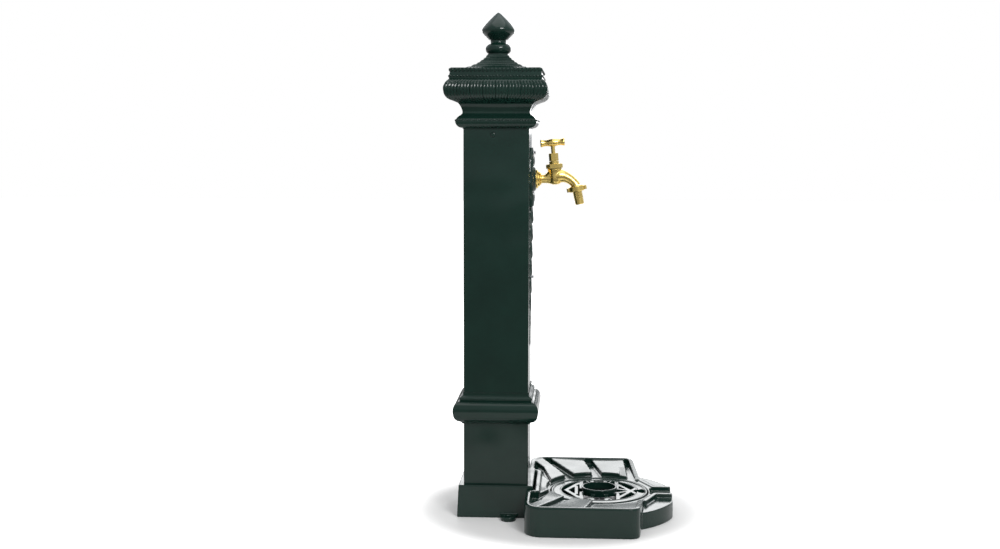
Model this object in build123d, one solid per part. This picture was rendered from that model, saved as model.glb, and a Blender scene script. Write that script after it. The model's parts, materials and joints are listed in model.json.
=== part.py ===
"""Garden water fountain: a cast-iron column with a brass bib tap over a floor tray.

Millimetres. +Z is up, the origin is on the column's axis at floor level, and the tap and tray face -Y.
"""

import os
from math import cos, pi, radians, sin, tan

from build123d import *

# Plinth: a ledge round the shaft's foot, with sides that spread a little towards the floor
plinth_height = 65.7
plinth_ledge = 9.8
plinth_spread = 3.1
plinth_wall = 9.0
plinth_floor = 8.0
supply_entry_radius = 45.0
plinth_top_opening_radius = 46.0

# Anchor lugs, one on each side of the plinth
lug_reach = 30.0
lug_width = 34.0
lug_root = 4.0
lug_thickness = 9.0
lug_forward = 27.0
anchor_from_plinth = 15.1
anchor_hole_radius = 6.5

# Shaft
shaft_width = 130.0
shaft_wall = 8.0
shaft_edge_radius = 2.5
shaft_above_tap = 100.0
foot_block = 21.0
foot_block_height = 14.0

# Ring moulding round the shaft: a quarter turn, a broad torus and a small astragal, upwards
ring_height = 220.0
ring_reach = 20.7
ring_fillet_height = 4.5
ring_quarter_height = 8.5
ring_torus_height = 34.0
ring_astragal_height = 7.6
ring_band = 1.2

# Bolts that clamp the shaft's foot, and the same size at the tray
bolt_radius = 4.0
bolt_hole_radius = 4.5
hex_flats = 13.0
bolt_head_height = 5.5
nut_height = 6.5
washer_radius = 8.0
washer_thickness = 1.6
bolt_tail = 3.0

# Cap: heights are above its joint with the shaft, reaches are beyond the shaft's face
spigot_length = 30.0
spigot_wall = 6.0
spigot_clearance = 0.4
cap_wall = 9.0
cap_roof_wall = 9.5
astragal_reach = 14.7
astragal_middle = 14.4
astragal_top = 30.0
neck_reach = 1.5
neck_top = 34.0
neck_flare = 9.2
cushion_reach = 36.2
cushion_bottom = 55.0
cushion_middle = 72.0
cushion_top = 93.0
slab_reach = 26.0
slab_bottom = 98.4
slab_top = 118.0
slab_taper = 3.4
roof_margin = 20.6
roof_end = 147.0
cap_height = 148.0
cap_ceiling = 134.0
cap_flat_half = 20.0

# Round-headed screws that hold the cap's spigot
cap_screw_radius = 2.5
cap_screw_head_radius = 5.0
cap_screw_head_height = 2.6
cap_screw_drop = 11.5
cap_screw_back = 6.5
screw_clearance = 0.3

# Finial
finial_height = 83.2
finial_radius = 33.3
finial_neck_radius = 16.0
finial_bead_radius = 26.0
finial_base_radius = 20.5
stud_radius = 5.0
stud_clearance = 0.25
stud_in_finial = 40.0

# Relief on the front face
relief_above_tap = 63.0
relief_shoulder_drop = 55.0
relief_tip_drop = 342.0
relief_half_width = 43.0
relief_drop_half_width = 24.0
relief_tip_half_width = 6.0
relief_thickness = 8.8
relief_tip_thickness = 2.0
relief_dome_radius = 27.0
relief_dome_height = 12.0

# Tap: heights and distances forward of the column's axis
tap_height = 680.0
wall_hole_radius = 11.0
inlet_radius = 10.4
inlet_bore_radius = 6.5
inlet_length = 34.0
wall_flange_radius = 19.0
wall_flange_step_radius = 15.0
wall_flange_thickness = 4.0
tap_neck_radius = 8.8
tap_barrel_radius = 10.0
bonnet_forward = 115.5
bonnet_lean = 4.8
chamber_radius = 15.5
chamber_bore_radius = 11.5
chamber_top_rise = 21.0
seat_rise = 8.0
seat_hole_radius = 6.0
spout_rise = 8.0
spout_radius = 10.0
spout_bore_radius = 7.0
spout_bend_radius = 20.0
spout_start_forward = 136.6
spout_lean = 12.0
spout_straight = 6.0

# Bonnet, spindle and valve
bonnet_seal_thickness = 0.8
bonnet_flats = 29.0
bonnet_hex_height = 8.6
bonnet_collar_radius = 9.85
bonnet_collar_height = 5.3
bonnet_thread_length = 7.5
bonnet_spigot_radius = 6.4
bonnet_spigot_height = 7.8
thread_clearance = 0.06
packing_radius = 5.25
packing_recess = 6.0
spindle_radius = 4.05
spindle_clearance = 0.05
spindle_thread_radius = 5.0
spindle_thread_length = 13.5
spindle_top_radius = 3.0
gland_nut_flats = 16.4
gland_nut_height = 15.5
gland_nut_gap = 0.6
valve_washer_thickness = 2.5
valve_washer_radius = 9.0
jumper_plate_radius = 9.5
jumper_plate_thickness = 2.5
jumper_stem_radius = 2.4
jumper_stem_length = 10.5
valve_rise = 6.0
spindle_gap = 0.3

# Handle
handle_rise = 73.0
handle_length = 49.0
handle_end_radius = 7.5
handle_waist_radius = 6.0
handle_boss_radius = 7.8
handle_pin_radius = 1.5
handle_pin_clearance = 0.03

# Hose union
union_thread_radius = 13.0
union_thread_length = 5.5
union_wall = 2.6
union_wing_reach = 20.2
union_wing_width = 9.0
union_lip = 2.1
hose_washer_thickness = 1.8
hose_flange_thickness = 2.0
hose_tail_length = 28.7
hose_tail_radius = 9.0
hose_tail_bore_radius = 7.0
barb_rise = 0.5
barb_pitch = 6.5
barb_count = 3

# Supply inside the shaft
riser_radius = 10.65
riser_bore_radius = 8.0
riser_forward = 32.0
elbow_wall = 3.5
elbow_socket = 15.0
elbow_seal_thickness = 1.5
supply_union_flats = 32.0
supply_union_bottom = 30.0
supply_union_length = 26.0
supply_thread_radius = 9.32
supply_thread_depth = 15.0
clip_heights = (260.0, 520.0)
clip_wall = 3.0
clip_width = 16.0
clip_foot_width = 56.0
clip_screw_radius = 2.4
clip_screw_spacing = 42.0

# Tray: its grate's axis is in front of the plinth, and the fronts are measured from that axis
tray_from_plinth = 131.6
tray_half_width = 206.0
tray_overlap = 15.9
tray_corner_ahead = 74.5
tray_front_ahead = 87.5
tray_front_half = 84.0
tray_rear_corner_radius = 35.0
tray_front_corner_radius = 20.0
tray_height = 59.5
tray_wall = 8.0
rim_width = 10.0
rim_edge_radius = 3.0
notch_clearance = 0.6
dip_height = 43.0
dip_start = 187.0
dip_end = 78.0
trough_floor = 40.0
trough_radius = 108.0
dish_rise = 6.0
dish_radius = 205.0
pad_rise_inside = 10.0
pad_rise_outside = 10.5
pad_run_out = 19.0
tray_floor = 9.0

# Front lobe with its spill channel
lobe_behind = 15.5
lobe_radius = 172.0
lobe_ahead = 147.5
lobe_height = 33.8
channel_half_width = 22.0
channel_floor = 33.0
channel_step_ahead = 104.5
flare_start_ahead = 110.5
flare_end_ahead = 83.5
lobe_rib = 10.0
lobe_roof = 7.8

# Sump and grate seat
seat_height = 31.6
grate_radius = 99.0
grate_clearance = 1.4
sump_radius = 89.0
sump_wall = 15.0
sump_floor_top = 20.0
sump_floor = 7.0

# Grate
grate_thickness = 8.0
grate_inner_radius = 77.0
grate_bead_radius = 1.6
grate_groove_inset = 4.5
grate_groove_width = 2.0
grate_groove_depth = 1.2
bar_thickness = 6.0
bar_width = 8.0
thin_bar_width = 4.0
collar_radius = 36.5
collar_wall = 3.5
collar_rise = 9.0
grate_lift = 60.0

# Drain
drain_tail_radius = 24.0
drain_bore_radius = 20.2
drain_mouth_radius = 16.0
drain_flange_radius = 34.0
drain_flange_thickness = 2.5
drain_gasket_thickness = 1.5
drain_nut_flats = 58.0
drain_nut_height = 7.0
drain_clearance = 0.4
drain_tail_foot = 1.0

# Bolts between tray and plinth
tray_bolt_side = 40.0
tray_bolt_height = 19.0

# Worked out from the sizes above
shaft_top = tap_height + shaft_above_tap
shaft_half = shaft_width / 2
shaft_inside = shaft_half - shaft_wall
plinth_top_half = shaft_half + plinth_ledge
plinth_foot_half = plinth_top_half + plinth_spread
anchor_side = plinth_foot_half + anchor_from_plinth
ring_half_width = shaft_half + ring_reach
astragal_half_width = shaft_half + astragal_reach
cushion_half_width = shaft_half + cushion_reach
slab_half_width = shaft_half + slab_reach
cap_top = shaft_top + cap_height
chamber_top = tap_height + chamber_top_rise
seat_level = tap_height + seat_rise
bonnet_base = chamber_top + bonnet_seal_thickness
bonnet_hex_top = bonnet_base + bonnet_hex_height
bonnet_collar_top = bonnet_hex_top + bonnet_collar_height
gland_nut_base = bonnet_collar_top + gland_nut_gap
gland_nut_top = gland_nut_base + gland_nut_height
jumper_base = seat_level + valve_washer_thickness
jumper_plate_top = jumper_base + jumper_plate_thickness
handle_height = tap_height + handle_rise
relief_top = tap_height + relief_above_tap
relief_shoulder = tap_height - relief_shoulder_drop
relief_tip = tap_height - relief_tip_drop
relief_face = shaft_half + relief_dome_height
flange_face = relief_face + 2 * wall_flange_thickness
tray_centre = plinth_foot_half + tray_from_plinth
tray_rear = plinth_foot_half - tray_overlap
tray_front_corner = tray_centre + tray_corner_ahead
tray_front = tray_centre + tray_front_ahead
lobe_front = tray_centre + lobe_ahead


def outline(start, *steps):
    """Edges from start: a step is a point, or a pair of points (through, end) for an arc."""
    edges = []
    here = start
    for step in steps:
        if isinstance(step[0], tuple):
            edges.append(ThreePointArc(here, step[0], step[1]))
            here = step[1]
        else:
            edges.append(Line(here, step))
            here = step
    return edges


def half_section(start, *steps):
    """Face between the Z axis and an outline of (distance from axis, height) points, in the XZ plane."""
    edges = outline(start, *steps)
    top = edges[-1] @ 1
    edges.append(Line((0, top.Y), (0, start[1])))
    if top.X > 0.001:
        edges.append(Line((top.X, top.Y), (0, top.Y)))
    if start[0] > 0.001:
        edges.append(Line((0, start[1]), start))
    return Plane.XZ * make_face(edges)


def turned(start, *steps):
    """Solid of revolution about the Z axis."""
    return revolve(half_section(start, *steps), Axis.Z)


def square_moulding(start, *steps):
    """Solid whose level sections are squares that follow the outline."""
    half = half_section(start, *steps)
    full = half + mirror(half, about=Plane.YZ)
    reach = max(abs(full.bounding_box().max.X), 1.0) + 5
    along_y = extrude(full, amount=reach, both=True)
    return along_y & Rot(0, 0, 90) * along_y


def square_prism(half, low, high):
    return Pos(0, 0, (low + high) / 2) * Box(2 * half, 2 * half, high - low)


def tube(outer, inner, low, high):
    body = Pos(0, 0, low) * Cylinder(outer, high - low, align=(Align.CENTER, Align.CENTER, Align.MIN))
    if inner <= 0:
        return body
    bore = Cylinder(inner, high - low + 2, align=(Align.CENTER, Align.CENTER, Align.MIN))
    return body - Pos(0, 0, low - 1) * bore


def rod(radius, low, high):
    return tube(radius, 0, low, high)


def hexagon(flats, low, high):
    face = Rot(0, 0, 30) * RegularPolygon(flats / 2, 6, major_radius=False)
    return Pos(0, 0, low) * extrude(face, amount=high - low)


def chamfered_hexagon(flats, low, high, top=True):
    """Hexagon nut shape with its corners taken off at the top, and at the bottom when top is False."""
    corner = flats / 3**0.5
    slope = (corner - flats / 2) * 0.6
    if top:
        cone = turned((corner + 0.01, low), (corner + 0.01, high - slope), (flats / 2, high))
    else:
        cone = turned(
            (flats / 2, low),
            (corner + 0.01, low + slope),
            (corner + 0.01, high - slope),
            (flats / 2, high),
        )
    return hexagon(flats, low, high) & cone


def at_bonnet(shape):
    """Places a shape made about the Z axis on the bonnet's axis, which leans back towards the column."""
    return Pos(0, -bonnet_forward, tap_height) * Rot(-bonnet_lean, 0, 0) * Pos(0, 0, -tap_height) * shape


def along_front(shape):
    """Turns a shape made about the Z axis so that Z points forward at tap height."""
    return Pos(0, 0, tap_height) * Rot(90, 0, 0) * shape


def in_tray(shape):
    """Places a shape made about the Z axis on the grate's axis."""
    return Pos(0, -tray_centre, 0) * shape


def plan_face(points):
    """Face in the floor plane from (sideways, forward) points."""
    return make_face(Polyline([(side, -forward) for side, forward in points], close=True))


def mirrored(points):
    """The points, then their mirror images in reverse order."""
    return points + [(-side, forward) for side, forward in reversed(points)]


def plinth_base():
    foot = plinth_foot_half
    top = plinth_top_half
    body = square_moulding((foot, 0), (top, plinth_height))
    inside = square_prism(top - plinth_wall, plinth_floor, plinth_height - plinth_floor)
    for side in (-1, 1):
        round_end = Pos(side * anchor_side, -lug_forward) * Circle(foot + lug_reach - anchor_side)
        root = Pos(side * (foot - lug_root / 2), -lug_forward) * Rectangle(lug_root, lug_width)
        body += extrude(make_hull(round_end.edges() + root.edges()), amount=lug_thickness)
    body -= inside
    body -= rod(supply_entry_radius, -1, plinth_floor + 1)
    body -= rod(plinth_top_opening_radius, plinth_height - plinth_floor - 1, plinth_height + 1)
    for side in (-1, 1):
        body -= Pos(side * anchor_side, -lug_forward, 0) * rod(anchor_hole_radius, -1, lug_thickness + 1)
    for place in foot_bolt_places():
        body -= place * rod(bolt_hole_radius, plinth_height - plinth_floor - 1, plinth_height + 1)
    for side in (-1, 1):
        hole = Rot(90, 0, 0) * rod(bolt_hole_radius, top - plinth_wall - 1, foot + 1)
        body -= Pos(side * tray_bolt_side, 0, tray_bolt_height) * hole
    return body


def foot_bolt_places():
    reach = shaft_inside - foot_block / 2
    return [Pos(x * reach, y * reach, 0) for x in (-1, 1) for y in (-1, 1)]


def ring_moulding():
    """Quarter turn, broad torus and astragal, from below upwards, with a thin band above."""
    face = shaft_half
    reach = ring_reach
    middle = ring_height
    swell = ring_torus_height / 2
    low = middle - swell - ring_quarter_height - ring_fillet_height
    bead = middle + swell
    band = bead + ring_astragal_height * 1.45
    return square_moulding(
        (face - ring_band, low),
        (face + ring_band + 0.4, low),
        (face + reach * 0.27, low + ring_fillet_height),
        ((face + reach * 0.836, middle - swell), (face + reach * 0.952, middle - swell * 0.53)),
        ((face + reach, middle - swell * 0.06), (face + reach * 0.942, middle + swell * 0.353)),
        ((face + reach * 0.807, middle + swell * 0.67), (face + reach * 0.536, middle + swell * 0.882)),
        (face + reach * 0.314, bead),
        (
            (face + reach * 0.372, bead + ring_astragal_height / 2),
            (face + reach * 0.295, bead + ring_astragal_height),
        ),
        (face + ring_band, band),
        (face + ring_band, band + ring_fillet_height * 1.35),
        (face - ring_band, band + ring_fillet_height * 1.35),
    )


def column_shaft():
    body = square_prism(shaft_half, plinth_height, shaft_top)
    body = fillet(body.edges().filter_by(Axis.Z), shaft_edge_radius)
    body += ring_moulding()
    body -= square_prism(shaft_inside, plinth_height - 1, shaft_top + 1)
    block = Pos(0, 0, plinth_height + foot_block_height / 2) * Box(foot_block, foot_block, foot_block_height)
    for place in foot_bolt_places():
        body += place * block
        body -= place * rod(bolt_hole_radius, plinth_height - 1, plinth_height + foot_block_height + 1)
    body -= along_front(rod(wall_hole_radius, shaft_inside - 1, shaft_half + 1))
    screw_hole = cap_screw_radius + screw_clearance
    for side in (-1, 1):
        cut = Rot(0, side * 90, 0) * rod(screw_hole, shaft_inside - 1, shaft_half + 1)
        body -= Pos(0, cap_screw_back, shaft_top - cap_screw_drop) * cut
    for height in clip_heights:
        for side in (-1, 1):
            cut = Rot(90, 0, 0) * rod(clip_screw_radius, shaft_inside - 1, shaft_half - 2)
            body -= Pos(side * clip_screw_spacing / 2, 0, height) * cut
    for height in relief_screw_heights():
        cut = Rot(90, 0, 0) * rod(clip_screw_radius, shaft_inside + 1, shaft_half + 1)
        body -= Pos(0, 0, height) * cut
    return body


def hex_bolt(length):
    """Bolt hanging down from the plane z = 0, with its head above it."""
    head = chamfered_hexagon(hex_flats, 0, bolt_head_height)
    return head + rod(bolt_radius, -length, 0.5)


def hex_nut():
    """Nut standing on the plane z = 0."""
    nut = chamfered_hexagon(hex_flats, 0, nut_height, top=False)
    return nut - rod(bolt_radius + thread_clearance, -1, nut_height + 1)


def flat_washer():
    return tube(washer_radius, bolt_hole_radius, 0, washer_thickness)


def shaft_fasteners():
    seat = plinth_height + foot_block_height
    grip = foot_block_height + plinth_floor
    length = washer_thickness + grip + nut_height + bolt_tail
    bolts = [place * Pos(0, 0, seat + washer_thickness) * hex_bolt(length) for place in foot_bolt_places()]
    washers = [place * Pos(0, 0, seat) * flat_washer() for place in foot_bolt_places()]
    nut_base = plinth_height - plinth_floor - nut_height
    nuts = [place * Pos(0, 0, nut_base) * hex_nut() for place in foot_bolt_places()]
    return bolts, washers, nuts


def cap_casting():
    """Astragal, neck, ribbed cushion, slab and hollow-sided roof."""
    z = shaft_top
    a = astragal_half_width
    neck = shaft_half + neck_reach
    c = cushion_half_width
    s = slab_half_width
    lower = cushion_middle - cushion_bottom
    upper = cushion_top - cushion_middle
    eaves = s - slab_taper - roof_margin
    fold = cap_flat_half + (eaves - cap_flat_half) * 0.4
    body = square_moulding(
        (neck - 0.3, z),
        (neck - 0.1, z + 1.4),
        ((a - 1.6, z + astragal_middle * 0.583), (a, z + astragal_middle)),
        ((a - 2.6, z + (astragal_middle + astragal_top) * 0.45), (neck + 3.1, z + astragal_top - 3.4)),
        (neck, z + astragal_top),
        (neck, z + neck_top),
        (
            (shaft_half + neck_flare * 0.48, z + (neck_top + cushion_bottom) * 0.4775),
            (shaft_half + neck_flare, z + cushion_bottom - 5),
        ),
        (c - lower * 0.88, z + cushion_bottom),
        ((c - lower * 0.27, z + cushion_bottom + lower * 0.37), (c - 0.3, z + cushion_middle)),
        ((c - 0.4, z + cushion_middle + upper * 0.543), (c - upper * 0.305, z + cushion_top)),
        (s - 0.6, z + slab_bottom - 2),
        (s, z + slab_bottom),
        (s - slab_taper, z + slab_top),
        (eaves, z + slab_top + 0.8),
        ((fold, z + slab_top + (roof_end - slab_top) * 0.41), (cap_flat_half, z + roof_end)),
        (cap_flat_half, cap_top),
    )
    spigot = shaft_inside - spigot_clearance
    body += square_prism(spigot, shaft_top - spigot_length, shaft_top + 2)
    inside = spigot - spigot_wall
    body -= square_moulding(
        (inside, z - spigot_length - 1),
        (inside, z + cushion_bottom - cap_wall),
        (c - cap_wall - 12, z + cushion_bottom + 7),
        (c - cap_wall, z + cushion_middle - 2),
        (c - cap_wall, z + cushion_top - cap_wall),
        (s - cap_wall, z + slab_bottom - 2.4),
        (s - cap_wall - slab_taper, z + slab_top - cap_wall),
        (eaves - 4, z + slab_top + 1 - cap_roof_wall),
        (fold - 6.4, z + slab_top + 8.5 - cap_roof_wall),
        (stud_radius * 3, z + cap_ceiling - 5),
        (stud_radius * 3, z + cap_ceiling),
    )
    body -= rod(stud_radius + stud_clearance, z + cap_ceiling - 1, cap_top + 1)
    for side in (-1, 1):
        cut = Rot(0, side * 90, 0) * rod(cap_screw_radius, spigot - spigot_wall - 1, spigot + 1)
        body -= Pos(0, cap_screw_back, shaft_top - cap_screw_drop) * cut
    return body


def cap_screws():
    end = shaft_inside - spigot_clearance - spigot_wall - 2
    screw = rod(cap_screw_radius, end, shaft_half + 0.5)
    head = shaft_half
    r = cap_screw_head_radius
    screw += turned(
        (r, head),
        (r, head + 0.6),
        ((r * 0.8, head + cap_screw_head_height * 0.8), (r * 0.4, head + cap_screw_head_height)),
    )
    place = Pos(0, cap_screw_back, shaft_top - cap_screw_drop)
    return [place * Rot(0, side * 90, 0) * screw for side in (-1, 1)]


def finial():
    """Base disc, bead, neck and onion bulb, from below upwards."""
    z = cap_top
    r = finial_radius
    n = finial_neck_radius
    b = finial_bead_radius
    base = finial_base_radius
    edges = outline(
        (0, z),
        (base, z),
        (base, z + 1.6),
        ((b, z + 11.5), (n + 1.6, z + 21.8)),
        ((n + 0.35, z + 23.8), (n, z + 26)),
        (n, z + 28),
    )
    bulb = Spline(
        [
            (n, z + 28),
            (r - 9.3, z + 34.6),
            (r - 2.6, z + 41.4),
            (r, z + 48.8),
            (r - 2.4, z + 54.6),
            (r - 10.4, z + 64.2),
            (r - 16.6, z + 70.4),
            (r - 23.6, z + 76.6),
            (0, z + finial_height),
        ],
        tangents=[(1, 0.35), (-1, 0.35)],
    )
    body = revolve(Plane.XZ * make_face(edges + [bulb, Line((0, z + finial_height), (0, z))]), Axis.Z)
    return body - rod(stud_radius + thread_clearance, z - 1, z + stud_in_finial)


def finial_fixings():
    ceiling = shaft_top + cap_ceiling
    washer = Pos(0, 0, ceiling - washer_thickness) * tube(
        stud_radius * 2.2, stud_radius + stud_clearance, 0, washer_thickness
    )
    nut_top = ceiling - washer_thickness
    nut_high = stud_radius * 1.6
    nut = chamfered_hexagon(stud_radius * 3.4, nut_top - nut_high, nut_top, top=False)
    nut -= rod(stud_radius + thread_clearance, nut_top - nut_high - 1, nut_top + 1)
    stud = rod(stud_radius, nut_top - nut_high - bolt_tail, cap_top + stud_in_finial - 1)
    return stud, nut, washer


def relief_screw_heights():
    return (relief_top - 10, (relief_shoulder + relief_tip) / 2)


def front_relief():
    """Cartouche with a domed boss round the tap, and a long drop that thins towards its tip."""
    w = relief_half_width
    d = relief_drop_half_width
    t = relief_tip_half_width
    middle = (relief_top + relief_shoulder) / 2
    shape = make_face(
        outline(
            (0, relief_top),
            ((w * 0.72, relief_top - 14), (w, middle)),
            ((w * 0.78, middle - 42), (d, relief_shoulder - 8)),
            ((d * 0.92, (relief_shoulder * 2 + relief_tip) / 3), (t, relief_tip + 12)),
            (0, relief_tip),
            (-t, relief_tip + 12),
            ((-d * 0.92, (relief_shoulder * 2 + relief_tip) / 3), (-d, relief_shoulder - 8)),
            ((-w * 0.78, middle - 42), (-w, middle)),
            ((-w * 0.72, relief_top - 14), (0, relief_top)),
        )
    )
    plate = extrude(Plane.XZ * shape, amount=shaft_half + relief_thickness + 1)
    body = plate & relief_side_wedge()
    shoulder = (relief_dome_radius * 0.86, shaft_half + relief_dome_height * 0.8)
    dome = turned((relief_dome_radius, shaft_half), (shoulder, (wall_flange_radius + 1, relief_face)))
    body += along_front(dome)
    body -= along_front(rod(wall_hole_radius, shaft_half - 1, relief_face + 1))
    for height in relief_screw_heights():
        cut = Rot(90, 0, 0) * rod(clip_screw_radius, shaft_half - 1, shaft_half + relief_thickness + 1)
        body -= Pos(0, 0, height) * cut
    return body


def relief_side_wedge():
    """The relief's side view: full thickness down to the shoulder, then thinning to the tip."""
    face = make_face(
        Polyline(
            [
                (-shaft_half, relief_tip - 1),
                (-shaft_half - relief_tip_thickness, relief_tip - 1),
                (-shaft_half - relief_thickness, relief_shoulder),
                (-shaft_half - relief_thickness, relief_top + 1),
                (-shaft_half, relief_top + 1),
            ],
            close=True,
        )
    )
    return extrude(Plane.YZ * face, amount=relief_half_width + 5, both=True)


def relief_screws():
    """Countersunk-size cheese heads that lie on the relief's face."""
    screws = []
    for height in relief_screw_heights():
        if height > relief_shoulder:
            face = shaft_half + relief_thickness
        else:
            share = (height - relief_tip) / (relief_shoulder - relief_tip)
            face = shaft_half + relief_tip_thickness + share * (relief_thickness - relief_tip_thickness)
        shank = rod(clip_screw_radius - thread_clearance, shaft_inside + 2, face + 0.5)
        head = turned(
            (clip_screw_radius * 1.7, face + 0.1),
            (clip_screw_radius * 1.7, face + 0.8),
            ((clip_screw_radius * 1.4, face + 1.6), (clip_screw_radius * 0.7, face + 2.0)),
        )
        screws.append(Pos(0, 0, height) * Rot(90, 0, 0) * (shank + head))
    return screws


def wall_flange():
    """Two-stepped brass rosette between the relief's boss and the tap."""
    t = wall_flange_thickness
    inner = inlet_radius + thread_clearance
    body = turned(
        (wall_flange_radius, relief_face),
        (wall_flange_radius, relief_face + t * 0.6),
        ((wall_flange_radius - 1.4, relief_face + t * 0.94), (wall_flange_step_radius, relief_face + t)),
        (wall_flange_step_radius, flange_face - 1.2),
        (wall_flange_step_radius - 1.2, flange_face),
    )
    return along_front(body - rod(inner, relief_face - 1, flange_face + 1))


def spout_direction():
    return Vector(0, -sin(radians(spout_lean)), -cos(radians(spout_lean)))


def spout_end():
    """Where the spout's bend ends: (forward, height)."""
    turn = radians(90 - spout_lean)
    forward = spout_start_forward + spout_bend_radius * sin(turn)
    height = tap_height + spout_rise - spout_bend_radius * (1 - cos(turn))
    return forward, height


def at_spout(shape):
    """Places a shape made about the Z axis so that Z runs out of the spout from the end of its bend."""
    forward, height = spout_end()
    return Plane(origin=(0, -forward, height), x_dir=(1, 0, 0), z_dir=spout_direction()) * shape


def spout_path(start_forward, tail):
    """Level run from the chamber, the bend, then a straight tail."""
    level = tap_height + spout_rise
    forward, height = spout_end()
    half_turn = radians(90 - spout_lean) / 2
    middle = (
        0,
        -(spout_start_forward + spout_bend_radius * sin(half_turn)),
        level - spout_bend_radius * (1 - cos(half_turn)),
    )
    run = Line((0, -start_forward, level), (0, -spout_start_forward, level))
    bend = ThreePointArc((0, -spout_start_forward, level), middle, (0, -forward, height))
    end = Vector(0, -forward, height)
    straight = Line(end, end + spout_direction() * tail)
    return Wire([run, bend, straight])


def pipe_along(path, radius):
    start = Plane(origin=path @ 0, z_dir=path % 0)
    return sweep(start * Circle(radius), path=path)


def tap_body():
    """Inlet thread, barrel, valve chamber, bent spout and outlet thread, cast in one."""
    barrel_start = flange_face
    inlet_start = shaft_half - inlet_length + (relief_face - shaft_half)
    body = along_front(rod(inlet_radius, inlet_start, barrel_start + 0.5))
    body += along_front(turned(
        (tap_neck_radius + 3.0, barrel_start),
        (tap_neck_radius + 3.0, barrel_start + 2.2),
        (tap_neck_radius, barrel_start + 4.0),
        (tap_neck_radius, barrel_start + 7.0),
        (tap_barrel_radius, bonnet_forward),
    ))
    low = tap_height - tap_barrel_radius - 1.5
    chamber = turned(
        (0.5, low),
        ((chamber_radius * 0.8, low + 4.4), (chamber_radius, low + 14)),
        (chamber_radius - 1.0, chamber_top - 3),
        (chamber_radius - 1.0, chamber_top),
    )
    body += at_bonnet(chamber)
    thread_end = spout_straight + union_thread_length
    body += pipe_along(spout_path(bonnet_forward, thread_end - 1), spout_radius)
    body += at_spout(rod(union_thread_radius, spout_straight, thread_end))
    body -= along_front(rod(inlet_bore_radius, inlet_start - 1, bonnet_forward))
    body -= at_bonnet(rod(seat_hole_radius, tap_height - 4, seat_level + 1))
    body -= at_bonnet(rod(chamber_bore_radius, seat_level, chamber_top + 1))
    bore_start = bonnet_forward + seat_hole_radius + 3.5
    body -= pipe_along(spout_path(bore_start, thread_end + 1), spout_bore_radius)
    return body


def bonnet():
    """Screws into the chamber; carries the spindle's thread and the packing."""
    thread_base = chamber_top - bonnet_thread_length
    thread_bore = spindle_thread_radius + spindle_clearance
    thread_top = jumper_plate_top + spindle_gap + spindle_thread_length + valve_rise + 0.5
    spigot_top = bonnet_collar_top + bonnet_spigot_height
    body = rod(chamber_bore_radius - thread_clearance, thread_base, bonnet_base + 0.5)
    body += chamfered_hexagon(bonnet_flats, bonnet_base, bonnet_hex_top)
    body += rod(bonnet_collar_radius, bonnet_hex_top - 0.5, bonnet_collar_top)
    body += rod(bonnet_spigot_radius, bonnet_collar_top - 0.5, spigot_top)
    body -= rod(jumper_plate_radius + 0.3, thread_base - 1, bonnet_base + 1.2)
    body -= rod(thread_bore, bonnet_base, thread_top)
    body -= rod(spindle_radius + spindle_clearance, thread_top - 1, spigot_top + 1)
    body -= rod(packing_radius + 0.05, spigot_top - packing_recess, spigot_top + 1)
    return at_bonnet(body)


def bonnet_seal():
    return at_bonnet(tube(chamber_radius - 1.2, chamber_bore_radius + 0.2, chamber_top, bonnet_base))


def gland_nut():
    spigot_top = bonnet_collar_top + bonnet_spigot_height
    body = chamfered_hexagon(gland_nut_flats, gland_nut_base, gland_nut_top)
    body -= rod(bonnet_spigot_radius + thread_clearance, gland_nut_base - 1, spigot_top + 1.5)
    return at_bonnet(body - rod(spindle_radius + 0.1, gland_nut_base, gland_nut_top + 1))


def gland_packing():
    spigot_top = bonnet_collar_top + bonnet_spigot_height
    low = spigot_top - packing_recess
    return at_bonnet(tube(packing_radius, spindle_radius + spindle_clearance, low, spigot_top + 1.4))


def spindle():
    low = jumper_plate_top + spindle_gap
    stem_top = handle_height - handle_boss_radius + 1.0
    body = rod(spindle_thread_radius, low, low + spindle_thread_length)
    body += rod(spindle_radius, low, stem_top)
    body += rod(spindle_top_radius, stem_top - 0.5, handle_height + handle_boss_radius - 1.5)
    body -= rod(jumper_stem_radius + 0.1, low - 1, jumper_plate_top + jumper_stem_length + 1)
    pin = Pos(0, 0, handle_height) * Rot(0, 90, 0) * rod(handle_pin_radius + handle_pin_clearance, -9, 9)
    return at_bonnet(body - pin)


def jumper_valve():
    body = rod(jumper_plate_radius, jumper_base, jumper_plate_top)
    body += rod(jumper_stem_radius, jumper_base, jumper_plate_top + jumper_stem_length)
    body += rod(1.5, seat_level - 3.4, jumper_base + 0.5)
    return at_bonnet(body)


def valve_washer():
    return at_bonnet(tube(valve_washer_radius, 1.55, seat_level, jumper_base))


def valve_nut():
    """Small nut that holds the washer on the jumper's lower stud, inside the seat's hole."""
    nut = hexagon(5.0, seat_level - 2.8, seat_level - 0.02) - rod(1.55, seat_level - 4, seat_level + 1)
    return at_bonnet(nut)


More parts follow.
